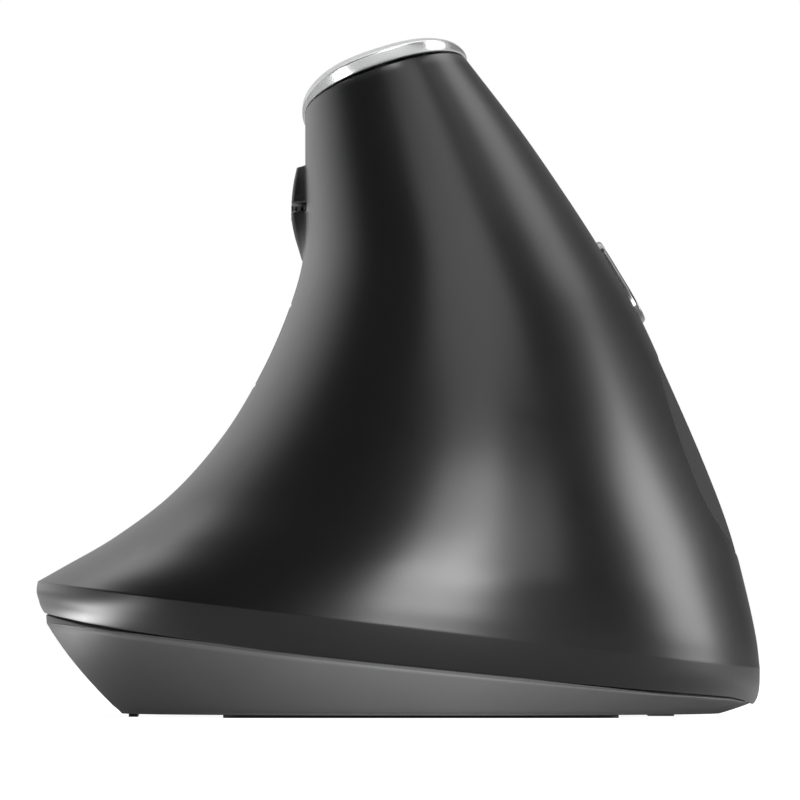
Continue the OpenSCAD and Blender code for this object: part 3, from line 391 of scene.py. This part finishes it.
LOOKS = {
    "shell": make_material("shell", (0.0033, 0.0033, 0.0035), 0.32, 0.25, 0.003, 18, 0.02, 0.15, 0.03),
    "base": make_material("base", (0.11, 0.11, 0.111), 0.5, 0.22, 0.012, 14, 0.04, 0.1, gloss=0.2),
    "silver": make_material("silver", (0.74, 0.745, 0.75), 0.24, 0.18, 0.002, 10, 0.03, 0.03, 0.04, 0.85),
    "trim": make_material("trim", (0.2, 0.2, 0.205), 0.2, 0.15, 0.001, 6, 0.03, 0.05, 0.03, 0.9),
    "pad": make_material("pad", (0.012, 0.012, 0.012), 0.62, 0.45, 0.03, 9, 0.06, 0.15, gloss=0.25),
    "tyre": make_material("tyre", (0.015, 0.015, 0.016), 0.6, 0.3, 0.02, 6, 0.06, 0.15, 0.1),
    "steel": make_material("steel", (0.6, 0.61, 0.62), 0.3, 0.12, 0.004, 5, 0.06, 0.06, 0.05, 1.0,
                           brushed=(1, 1, 8)),
    "frame": make_material("frame", (0.03, 0.03, 0.032), 0.5, 0.4, 0.01, 9, 0.06, 0.12),
    "board": make_material("board", (0.02, 0.12, 0.05), 0.35, 0.9, 0.006, 5, 0.06, 0.2, coat=0.3),
    "switch": make_material("switch", (0.04, 0.04, 0.045), 0.45, 0.3, 0.008, 5, 0.05, 0.12),
    "chip": make_material("chip", (0.015, 0.015, 0.015), 0.5, 0.15, 0.006, 4, 0.05, 0.15),
    "lens": make_material("lens", (0.9, 0.95, 0.97), 0.05, 2.0, 0.001, 4, 0.02, 0.02, clear=0.9),
    "lamp": make_material("lamp", (0.5, 0.03, 0.03), 0.15, 1.0, 0.001, 2, 0.04, 0.1, clear=0.4),
    "ribbon": make_material("ribbon", (0.6, 0.6, 0.62), 0.4, 0.5, 0.01, 4, 0.06, 0.06, brushed=(1, 6, 1)),
    "cell": make_material("cell", (0.05, 0.2, 0.11), 0.3, 0.5, 0.003, 8, 0.05, 0.08, coat=0.3),
    "feet": make_material("feet", (0.008, 0.008, 0.008), 0.3, 0.6, 0.006, 5, 0.08, 0.15, 0.1),
    "toggle": make_material("toggle", (0.75, 0.75, 0.75), 0.45, 0.3, 0.006, 4, 0.05, 0.04),
    "receiver": make_material("receiver", (0.03, 0.03, 0.033), 0.4, 0.3, 0.006, 6, 0.05, 0.12),
    "speed": make_material("speed", (0.1, 0.1, 0.105), 0.38, 0.25, 0.004, 5, 0.04, 0.1),
}
SLOT_OF = {row["node"]: row["material_slot"] for row in frame["record"]["subparts"]}
for name, obj in NODES.items():
    obj.data.materials.clear()
    obj.data.materials.append(LOOKS[SLOT_OF[name]])


# Main cover, with its finger opening, its bezel opening and the recess of the thumb pad.
def in_box(u, v, box):
    return (u > box[0]) & (u < box[1]) & (v > box[2]) & (v < box[3])


def build_cover():
    edge, top = 0.25, 0.997
    us = lines(-30, 330, 1.6, *(m for angle in (*PAD[:2], *STRIP[:2]) for m in around(angle, 0.25)),
               *(m for angle in FINGERS[:2] for m in around(angle, 0.4)))
    flank_vs = lines(0.012, top, 0.0125, *around(FINGERS[2], 0.003),
                     *(m for level in (*PAD[2:], *STRIP[2:]) for m in around(level, 0.002)))
    vs = np.concatenate([[-0.94], lines(-0.9, -0.1, 0.08), [-0.03, 0, 0.003], flank_vs])
    u, v = np.meshgrid(us[:-1], vs, indexing="ij")
    mid_u, mid_v = (us[:-1] + us[1:])[:, None] / 2, (vs[:-1] + vs[1:])[None] / 2
    keep = np.ones((len(us) - 1, len(vs) - 1), bool)
    a, b = u.copy(), v.copy()
    # Each opening: outline, how far round it the grid gives way, and room beside the panel in it.
    for box, power, reach, room in ((FINGERS, SQUARE, 1.1, 0.05), (STRIP, STRIP_POWER, 1.25, 0.05),
                                    (PAD, PAD_POWER, 1.14, 0.0)):
        a2, b2 = bend(u, v, box, power, edge + room, reach)
        a, b = a + a2 - u, b + b2 - v
        keep &= ~in_box(mid_u, mid_v, box)
    bm = roll_edges(grid_mesh(shell_point(a, np.minimum(b, top)), keep, wrap=True), edge, WALL)
    # Floor of the pad's recess.
    us, vs = lines(*PAD[:2], 3), lines(*PAD[2:], 0.02)
    u, v = np.meshgrid(us, vs, indexing="ij")
    a, b = bend(u, v, PAD, PAD_POWER, 0.1, 0.5)
    recess = grid_mesh(shell_point(a, b, PAD_DEPTH + 0.1))
    spare = bpy.data.meshes.new("recess")
    recess.to_mesh(spare)
    recess.free()
    bm.from_mesh(spare)
    bpy.data.meshes.remove(spare)
    finish_mesh(bm, "cover", "case", "shell", ["main_cover"])


def build_key(name, box, post, depth=WALL, notch=None, marks_v=(), slit=0.0):
    """A finger button: a panel of the shell inside a rectangle of angles and levels, with rolled edges, a
    wall that goes down to depth and a post to its switch. A button beside the wheel has a notch for it and
    stands on the raised island. slit is how much wider the gap under it is behind the wheel."""
    gap, edge = SEAM / 2, 0.25
    us = lines(box[0], box[1], 1.5, box[0] + 0.3, box[1] - 0.3, *(KEY_MARKS if notch else ()))
    vs = lines(box[2], box[3], 0.0125, box[2] + 0.003, box[3] - 0.003, *marks_v)
    u, v = np.meshgrid(us, vs, indexing="ij")
    a, b = bend(u, v, box, SQUARE, -(gap + edge), 0.5)
    keep = None
    if notch:
        a2, b2 = bend(u, v, notch, NOTCH_POWER, edge, 1.15)
        a, b = a + a2 - u, b + b2 - v
        keep = ~in_box((us[:-1] + us[1:])[:, None] / 2, (vs[:-1] + vs[1:])[None] / 2, notch)
    b = b + slit * LEVEL_PER_MM * ramp(177, 180, u) * ramp(0.03, 0, v - box[2])
    bm = roll_edges(grid_mesh(shell_point(a, b, hump=bool(notch)), keep), edge, depth)
    add_post(bm, *post)
    finish_mesh(bm, f"{name}_key", name, "shell", [f"{name}_button"])


def outline(box, power, shift, turns):
    """Angles and levels round a superellipse in a rectangle, moved outwards by shift millimetres."""
    a0, a1, v0, v1 = box
    a, b = powered(np.cos(turns), 2 / power), powered(np.sin(turns), 2 / power)
    u, v = (a0 + a1) / 2 + (a1 - a0) / 2 * a, (v0 + v1) / 2 + (v1 - v0) / 2 * b
    deg, lev = per_step(u, v)
    return np.stack([u + a * shift / deg, v + b * shift / lev], -1)


def close_middle(bm, ring):
    """Closes the small hole that a ring of points, in millimetres, leaves in the middle of a disc."""
    centre = Vector(ring.mean(0)) * MM
    reach = max((Vector(p) * MM - centre).length for p in ring) * 1.01
    inner = [e for e in bm.edges if e.is_boundary and all((v.co - centre).length < reach for v in e.verts)]
    hub = bm.verts.new(centre)
    for e in inner:
        bm.faces.new((*e.verts, hub))


def build_disc(name, box, power, gap, body, slot, node_name, proud, depth, edge, hole=None, crown=0.0):
    """A panel with a superellipse outline, in rings round its middle or round its hole (box, power, gap).
    It stands proud of the shell, by crown more in its middle, and its wall goes down to depth."""
    turns = np.linspace(0, 2 * np.pi, 161)[:-1] + 0.01
    outer = outline(box, power, -(gap + edge), turns)
    middle = np.array([(box[0] + box[1]) / 2, (box[2] + box[3]) / 2])
    inner = outline(hole[0], hole[1], hole[2] + edge, turns) if hole else middle + (outer - middle) * 0.02
    if hole:
        share = np.array([0, 0.15, 0.5, 0.85, 1])
    else:
        share = np.concatenate([np.linspace(0, 0.96, 13), [0.985, 1]])
    grid = inner[:, None] + (outer - inner)[:, None] * share[None, :, None]
    lift = proud + crown * (1 - share**2)[None] * np.ones((len(turns), 1))
    points = surface(grid[..., 0], grid[..., 1]) + lift[..., None] * normal(grid[..., 0], grid[..., 1])
    bm = grid_mesh(points, wrap=True)
    if not hole:
        close_middle(bm, points[:, 0])
    bmesh.ops.recalc_face_normals(bm, faces=bm.faces)
    bm.normal_update()
    if bm.faces[:][0].normal.dot(Vector(normal(*middle))) < 0:
        bmesh.ops.reverse_faces(bm, faces=bm.faces)
    roll_edges(bm, edge, depth)
    finish_mesh(bm, name, body, slot, [node_name])


build_cover()

# Finger buttons. The wheel stands in a notch of the index and middle buttons.
KEY_FRONT, KEY_PALM, RING_SPLIT = 113.6, FINGERS[1], 0.6
SWITCH_TOP = -3.2
NOTCH, NOTCH_POWER = (151, 179.5), 30
NOTCH_LOW = (*NOTCH, SPLIT - 0.0425, SPLIT + 0.04)
NOTCH_HIGH = (*NOTCH, SPLIT - 0.04, SPLIT + 0.0614)
# Extra grid lines, close together where the island's edges turn.
KEY_MARKS = (*ISLAND_NOSE, *around(NOTCH[0], 0.3), *around(NOTCH[1], 0.3), *ISLAND_PALM, 185)
TOP_MARKS = (0.872, 0.876, 0.878, 0.879, ISLAND_HIGH, 0.881, 0.882, 0.883, 0.885, 0.888)
LOW_MARKS = (0.69, 0.692, 0.693, ISLAND_LOW, 0.696, 0.7)


def post_at(v, a=138, radius=1.5):
    """The post of a finger button: from inside its wall to 0.7 mm short of its switch."""
    p = surface(a, v) - WALL * normal(a, v)
    return (p[0] - 0.9, p[1], p[2]), (SWITCH_TOP - 0.7, p[1], p[2]), radius


# The index button is a little shorter and thinner, so that it clears the cover when pressed.
build_key("index", (KEY_FRONT + 1.5, KEY_PALM, SPLIT, 1), post_at(0.86), depth=1.3, notch=NOTCH_HIGH,
          marks_v=(*around(NOTCH_HIGH[3], 0.002), *TOP_MARKS), slit=0.6)
build_key("middle", (KEY_FRONT, KEY_PALM, RING_SPLIT, SPLIT), post_at(0.68), notch=NOTCH_LOW,
          marks_v=(*around(NOTCH_LOW[2], 0.002), *LOW_MARKS))
build_key("ring", (KEY_FRONT, KEY_PALM, FINGERS[2], RING_SPLIT), post_at(0.52))
build_disc("thumb_grip", PAD, PAD_POWER, 0.3, "case", "pad", "thumb_pad", -0.1, PAD_DEPTH, 0.2)

# Thumb bezel: its rim stands proud, and the two buttons lie inside it.
MID_A, MID_V, RIM = 12.5, (STRIP[2] + STRIP[3]) / 2, 1.2
RIM_A, RIM_V = (RIM / mm for mm in per_step(MID_A, MID_V))
KEYS = (STRIP[0] + RIM_A, STRIP[1] - RIM_A, STRIP[2] + RIM_V, STRIP[3] - RIM_V)
build_disc("thumb_bezel", STRIP, STRIP_POWER, SEAM / 2, "case", "trim", "side_bezel", PROUD, WALL, 0.3,
           hole=(KEYS, 9, -SEAM / 2))
for name, start, end in (("back", KEYS[0], MID_A), ("forward", MID_A, KEYS[1])):
    build_disc(f"{name}_key", (start, end, *KEYS[2:]), 5, 0.35, name, "shell", f"{name}_button",
               PROUD - 0.1, WALL + 0.2, 0.3, crown=0.1)


# Cap: a dome over the seam ring, with a band round its foot and a slot for the speed button.
TILT = math.radians(17.6437)
CAP_UP = np.array([-math.sin(TILT), 0, math.cos(TILT)])
CAP_RIGHT = np.array([math.cos(TILT), 0, math.sin(TILT)])
CAP_C = np.array([-1.475, 12.5, 72.25])
CAP_RISE = 4.73
# Its two profiles along the middle: the share of the way out, and the share of the rise at each end there.
CAP_R = [1, 0.998, 0.992, 0.965, 0.9, 0.82, 0.68, 0.5, 0.28, 0, -0.28]
PALM_END = [0, 0.55, 0.72, 0.76, 0.82, 0.87, 0.93, 0.97, 0.99, 1, 0.99]
NOSE_END = [0, 0.2, 0.27, 0.4, 0.6, 0.75, 0.87, 0.95, 0.99, 1, 0.99]
SHOULDER, CROSS_POWER, PER_STEP = 0.82, 2.1, 12
# How far the band leans out, where along the rise, and how much more at the palm end.
LEAN, LEAN_RISE, LEAN_SHARE, LEAN_PALM = 0.24, (0, 0.68, 0.73, 0.85), (0, 1, 0.9, 0), 1.2
SLOT_L, SLOT_W = 12.5, 5.5


def smooth_table(values, per=PER_STEP):
    """Catmull-Rom through the values, per samples to a step."""
    v = np.array([2 * values[0] - values[1]] + list(values) + [values[-1]], float)
    out = []
    for i in range(1, len(values)):
        t = np.linspace(0, 1, per, endpoint=False)
        a, b, c, d = v[i - 1:i + 3]
        curve = (2 * a - 5 * b + 4 * c - d) * t**2 + (3 * b - a - 3 * c + d) * t**3
        out.append(0.5 * (2 * b + (c - a) * t + curve))
    return np.concatenate(out)


# The tables run a step past the middle, for the smoothing, and are used up to it.
TO_MIDDLE = CAP_R.index(0) * PER_STEP + 1
END_R, PALM_LIFT, NOSE_LIFT = (smooth_table(t)[:TO_MIDDLE] for t in (CAP_R, PALM_END, NOSE_END))


def cap_point(a, r):
    """A point of the cap at angle a and share r of the way out."""
    p = surface(a, 1.0) - CAP_C
    base = (p @ CAP_UP)[..., None]
    side = np.clip(1 - np.abs(r) ** CROSS_POWER, 0, 1) ** (1 / CROSS_POWER)
    palm, nose = (np.interp(-np.abs(r), -END_R, lift) for lift in (PALM_LIFT, NOSE_LIFT))
    s = np.sin(np.radians(a))
    end = np.where(s < 0, palm, nose)
    w = s**2
    up = (side * (1 - w) + end * w)[..., None]
    flat = (p - base * CAP_UP) * np.asarray(r)[..., None]
    return CAP_C + flat + (base + (CAP_RISE - base) * up) * CAP_UP


def slot_reach(angle, length, width):
    """Distance from the middle of a slot with round ends to its edge, at an angle from its width."""
    c, s = np.abs(np.cos(angle)), np.abs(np.sin(angle))
    half, end = width / 2, (length - width) / 2
    side = half / np.maximum(c, 1e-6)
    tip = end * s + np.sqrt(np.maximum(half**2 - (end * c) ** 2, 0))
    return np.where(side * s <= end, side, tip)


def cap_direction(a):
    """The direction of a point of the cap's foot from its middle, in the cap's plane, and its distance."""
    p = surface(a, 1.0) - CAP_C
    x, y = p @ CAP_RIGHT, p[..., 1]
    return np.arctan2(y, x), np.hypot(x, y)


def build_cap():
    """The silver cap, from its foot in to the edge of the slot for the speed button."""
    edge = 0.22
    a = np.arange(0, 360, 2.0)
    angle, far = cap_direction(a)
    hole = (slot_reach(angle, SLOT_L, SLOT_W) + edge) / far
    foot = smooth_table(CAP_R[:CAP_R.index(SHOULDER) + 1], 6)
    # The lowest row stands a little above the seam, where the edge rolls under.
    rs = np.concatenate([[0.9996], foot[foot < 0.9994], np.linspace(SHOULDER, 0, 15)])
    r = np.array([np.where(r >= SHOULDER, r, hole + (SHOULDER - hole) * r / SHOULDER) for r in rs]).T
    points = cap_point(a[:, None] * np.ones_like(r), r)
    # The band round its foot leans out a little, up to its crisp top edge.
    lean = LEAN * np.interp(np.interp(-rs, -END_R, PALM_LIFT), LEAN_RISE, LEAN_SHARE)
    away = surface(a, 1.0) - CAP_C
    away = unit(away - (away @ CAP_UP)[:, None] * CAP_UP)
    more = 1 + LEAN_PALM * np.clip(-np.sin(np.radians(a)), 0, 1) ** 2
    points += away[:, None] * (lean[None] * more[:, None])[..., None]
    bm = roll_edges(grid_mesh(points, wrap=True), edge, 1.6)
    finish_mesh(bm, "crown", "case", "silver", ["top_cap"])


def build_speed_key():
    """The speed button: a hair below the dome, and dished for a fingertip."""
    edge, gap, sink, dish = 0.3, 0.25, 0.05, 0.25
    a = np.arange(0, 360, 4.0)
    angle, far = cap_direction(a)
    out = (slot_reach(angle, SLOT_L - 2 * gap, SLOT_W - 2 * gap) - edge) / far
    rings = np.linspace(0.04, 1, 12)
    r = out[:, None] * rings[None]
    drop = (sink + dish * (1 - rings[None] ** 2) ** 2) * np.ones_like(r)
    points = cap_point(a[:, None] * np.ones_like(r), r) - drop[..., None] * CAP_UP
    bm = grid_mesh(points[:, ::-1], wrap=True)
    close_middle(bm, points[:, 0])
    bmesh.ops.recalc_face_normals(bm, faces=bm.faces)
    roll_edges(bm, edge, 2.4)
    finish_mesh(bm, "speed_key", "speed", "speed", ["speed_button"])


build_cap()
build_speed_key()


# Base: a smooth skin over the sides of the tray. Its lower outline, as in the part's source: middle and
# half-width across, middle and reach forward and back, and height above the desk.
LOW_X, LOW_HALF, LOW_Y, LOW_NOSE, LOW_PALM, LOW_Z = 2.55, 34.35, -3, 55.5, 49, 0.35
SKIN, SKIN_BELLY, SKIN_EDGE = 0.04, 0.06, 0.12


def base_skin():
    """Rows of points round the base, from its lower edge up to the seam and a little way in behind it."""
    a = np.arange(0, 360, 1.5)
    rad = np.radians(a)
    nose = np.sin(rad) >= 0
    k = np.where(nose, 2 / FRONT_N, 2 / BACK_N)
    s = np.abs(np.sin(rad)) ** k
    low = np.stack([LOW_X + LOW_HALF * powered(np.cos(rad), k),
                    LOW_Y + np.where(nose, LOW_NOSE * s, -LOW_PALM * s), np.full_like(a, LOW_Z)], -1)
    p = band(a, np.ones_like(a))
    q = unit(p[:, :2]) * 0.12
    x = p[:, 0] - q[:, 0]
    high = np.stack([x, p[:, 1] - q[:, 1], SEAM_HEIGHT - SEAM / 2 - SEAM_FALL * x], -1)
    out = unit(low * (1, 1, 0))
    mid = (low + high) / 2 + out * (SKIN_BELLY * (high[:, 2] - low[:, 2]))[:, None]
    # The seam's shadow gap closes towards the two tips.
    tip = np.interp(np.abs(x + 0.5), (30, 38, 40), (0, 0.7, 1))
    top = seam_z(x) - SEAM + 0.24 * tip
    rows = []
    for step in np.linspace(0, 1, 13):
        z = low[:, 2] + (top - low[:, 2]) * step
        t = np.minimum((z - low[:, 2]) / (high[:, 2] - low[:, 2]), 1)[:, None]
        row = low * (2 * t - 1) * (t - 1) + mid * 4 * t * (1 - t) + high * t * (2 * t - 1) + out * SKIN
        row[:, 2] = z
        rows.append(row)
    # Above the seam it carries on as a tongue behind the band.
    edge = rows[-1]
    for inward, up in ((0.05, 0.03), (0.6, 0.04), (0.65, 1.6)):
        row = edge - out * (inward * (1 - 0.8 * tip))[:, None]
        row[:, 2] = top + up
        rows.append(row)
    points = np.stack(rows, 1)
    points[:, 0, 2] += SKIN_EDGE
    bm = roll_edges(grid_mesh(points, wrap=True), SKIN_EDGE, 0.2)
    finish_mesh(bm, "base_skin", "case", "base")


base_skin()


# Lights.
def lamp(name, place, width, height, radiance):
    """A soft rectangular lamp that faces the object and has the given radiance, where 1 is white."""
    data = bpy.data.lights.new(name, "AREA")
    data.shape = "RECTANGLE"
    data.size, data.size_y = width, height
    data.energy = radiance * math.pi * width * height
    obj = bpy.data.objects.new(name, data)
    bpy.context.collection.objects.link(obj)
    obj.location = place
    obj.rotation_euler = (CENTRE - place).to_track_quat("-Z", "Y").to_euler()


def polar(azimuth, elevation, distance):
    """A place seen from the object: azimuth 0 is towards the camera and 90 to the thumb side."""
    a, e = math.radians(azimuth), math.radians(elevation)
    return Vector((math.sin(a) * math.cos(e), -math.cos(a) * math.cos(e), math.sin(e))) * distance + CENTRE


lamp("camera_softbox", polar(7, 18, 1.2), 0.46, 0.62, 15.5)
lamp("camera_low", polar(18, 9.5, 1.2), 0.24, 0.26, 9)
lamp("camera_upper", polar(12, 41, 1.2), 0.42, 0.4, 7)
lamp("front_fill", polar(38, 26, 1.3), 0.75, 0.7, 1.9)
lamp("thumb_softbox", polar(114, 14, 1.2), 0.55, 0.6, 5.5)
lamp("thumb_fill", polar(142, 34, 1.3), 0.5, 0.4, 1.2)
lamp("top_softbox", polar(40, 80, 1.4), 1.0, 1.0, 1.6)
lamp("back_softbox", polar(180, 44, 1.3), 1.1, 0.9, 1.5)


def build_world():
    """White behind the object for the camera and in its reflections, dim elsewhere."""
    world = bpy.data.worlds.new("studio")
    bpy.context.scene.world = world
    world.use_nodes = True
    tree = world.node_tree
    back = tree.nodes["Background"]
    path = tree.nodes.new("ShaderNodeLightPath")
    coords = tree.nodes.new("ShaderNodeTexCoord")
    toward = node(tree, "ShaderNodeVectorMath")
    toward.operation = "DOT_PRODUCT"
    toward.inputs[1].default_value = Vector((-0.42, 0.9, -0.12)).normalized()
    tree.links.new(coords.outputs["Generated"], toward.inputs[0])
    far = spread(tree, toward.outputs["Value"], 0.07, 0.9, 0.74, 0.99)
    mirrored = combine(tree, "MAXIMUM", path.outputs["Is Glossy Ray"], path.outputs["Is Transmission Ray"])
    first = tree.nodes.new("ShaderNodeMix")
    first.inputs["A"].default_value = 0.15
    tree.links.new(mirrored, first.inputs["Factor"])
    tree.links.new(far, first.inputs["B"])
    second = node(tree, "ShaderNodeMix", B=1.0)
    tree.links.new(path.outputs["Is Camera Ray"], second.inputs["Factor"])
    tree.links.new(first.outputs["Result"], second.inputs["A"])
    tree.links.new(second.outputs["Result"], back.inputs["Strength"])
    back.inputs["Color"].default_value = (1, 1, 1, 1)


def build_floor():
    """A pale floor that the camera sees nearly white."""
    mesh = bpy.data.meshes.new("floor")
    bm = bmesh.new()
    bmesh.ops.create_grid(bm, x_segments=8, y_segments=8, size=4)
    bm.to_mesh(mesh)
    bm.free()
    floor = bpy.data.objects.new("floor", mesh)
    bpy.context.collection.objects.link(floor)
    floor.location.z = -0.00002
    mat = bpy.data.materials.new("floor")
    mat.use_nodes = True
    tree = mat.node_tree
    shader = tree.nodes["Principled BSDF"]
    shader.inputs["Base Color"].default_value = (0.3, 0.3, 0.3, 1)
    shader.inputs["Roughness"].default_value = 0.9
    shader.inputs["Emission Color"].default_value = (1, 1, 1, 1)
    path = tree.nodes.new("ShaderNodeLightPath")
    # In reflections the floor is dark, and a bright card with soft edges lies on it, left of the object.
    place = tree.nodes.new("ShaderNodeTexCoord").outputs["Object"]
    across = node(tree, "ShaderNodeSeparateXYZ")
    tree.links.new(place, across.inputs["Vector"])
    card = spread(tree, across.outputs["X"], 1, 0, -0.06, -0.045)
    for axis, *ends in (("X", 0, 1, -0.4, -0.3), ("Y", 0, 1, -0.025, -0.005), ("Y", 1, 0, 0, 0.03)):
        card = combine(tree, "MULTIPLY", card, spread(tree, across.outputs[axis], *ends))
    mirrored = spread(tree, card, 0.2, 8, 0, 1)
    glow = spread(tree, path.outputs["Is Camera Ray"], 0, 0.95, 0, 1)
    for ray in ("Is Glossy Ray", "Is Transmission Ray"):
        glow = combine(tree, "ADD", glow, combine(tree, "MULTIPLY", path.outputs[ray], mirrored))
    tree.links.new(glow, shader.inputs["Emission Strength"])
    mesh.materials.append(mat)


build_world()
build_floor()
bpy.context.scene.view_settings.view_transform = "Standard"
